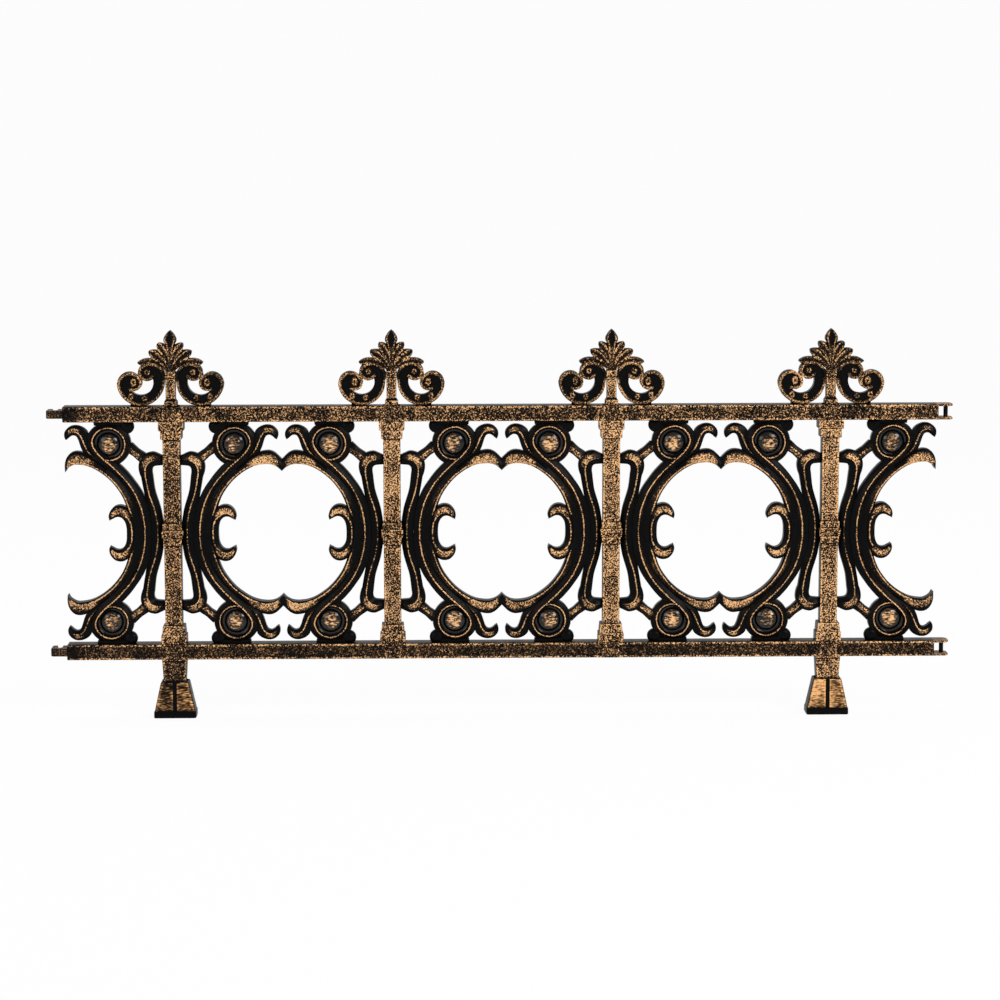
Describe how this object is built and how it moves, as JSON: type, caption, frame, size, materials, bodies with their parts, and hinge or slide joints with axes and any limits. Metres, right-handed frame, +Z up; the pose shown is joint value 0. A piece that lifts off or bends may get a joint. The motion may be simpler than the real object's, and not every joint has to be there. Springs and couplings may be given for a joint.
{
  "type": "plastic garden fence panel",
  "caption": "Low ornamental fence panel with scrolled infill between square posts and two rails, leaf finials, hooked tongues and hinge ears at its ends, and flared feet.",
  "frame": {"origin": "middle of the panel's overall length and depth, on the ground under the feet", "axes": "+X along the panel towards the hinge ears, -Y towards the viewer in front, +Z up"},
  "size_m": [0.7952, 0.0204, 0.3445],
  "materials": {
    "speckled_plastic": "satin black with a dense bronze speckle",
    "black_plastic": "satin black with bronze brushed on the crests",
    "brushed_plastic": "black with bronze brushed across the faces"
  },
  "bodies": {
    "root": {"bottom_hinge_pin": "black_plastic", "bottom_rail": "speckled_plastic", "finial_1": "speckled_plastic", "finial_2": "speckled_plastic", "finial_3": "speckled_plastic", "finial_4": "speckled_plastic", "foot_left": "brushed_plastic", "foot_right": "brushed_plastic", "leg_left": "speckled_plastic", "leg_right": "speckled_plastic", "post_1": "speckled_plastic", "post_2": "speckled_plastic", "post_3": "speckled_plastic", "post_4": "speckled_plastic", "scroll_1_left": "black_plastic", "scroll_1_right": "black_plastic", "scroll_2_left": "black_plastic", "scroll_2_right": "black_plastic", "scroll_3_left": "black_plastic", "scroll_3_right": "black_plastic", "scroll_4_left": "black_plastic", "scroll_4_right": "black_plastic", "top_hinge_pin": "black_plastic", "top_rail": "speckled_plastic", "volute_1_left": "black_plastic", "volute_1_right": "black_plastic", "volute_2_left": "black_plastic", "volute_2_right": "black_plastic", "volute_3_left": "black_plastic", "volute_3_right": "black_plastic", "volute_4_left": "black_plastic", "volute_4_right": "black_plastic"}
  },
  "joints": []
}
